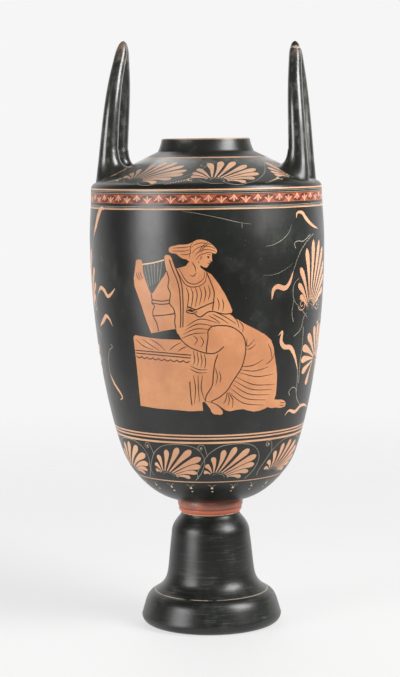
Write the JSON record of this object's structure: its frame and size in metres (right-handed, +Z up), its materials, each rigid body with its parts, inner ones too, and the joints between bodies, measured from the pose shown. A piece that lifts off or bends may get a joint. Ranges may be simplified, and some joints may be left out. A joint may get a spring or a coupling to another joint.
{
  "type": "red-figure wedding vase",
  "caption": "Tall painted clay vase with a barrel body, sloping shoulder, low neck, bell foot and upright loop handles on the shoulder.",
  "frame": {"origin": "middle of the foot's flat underside", "axes": "+Z up along the turning axis, the painted front faces -Y, the handles stand at +X and -X"},
  "size_m": [0.1844, 0.1844, 0.4614],
  "materials": {
    "painted_clay": "glossy black slip with reserved orange clay figures and ornament, touches of cream and dark red, worn in places"
  },
  "bodies": {
    "root": {"vase": "painted_clay"}
  },
  "joints": []
}
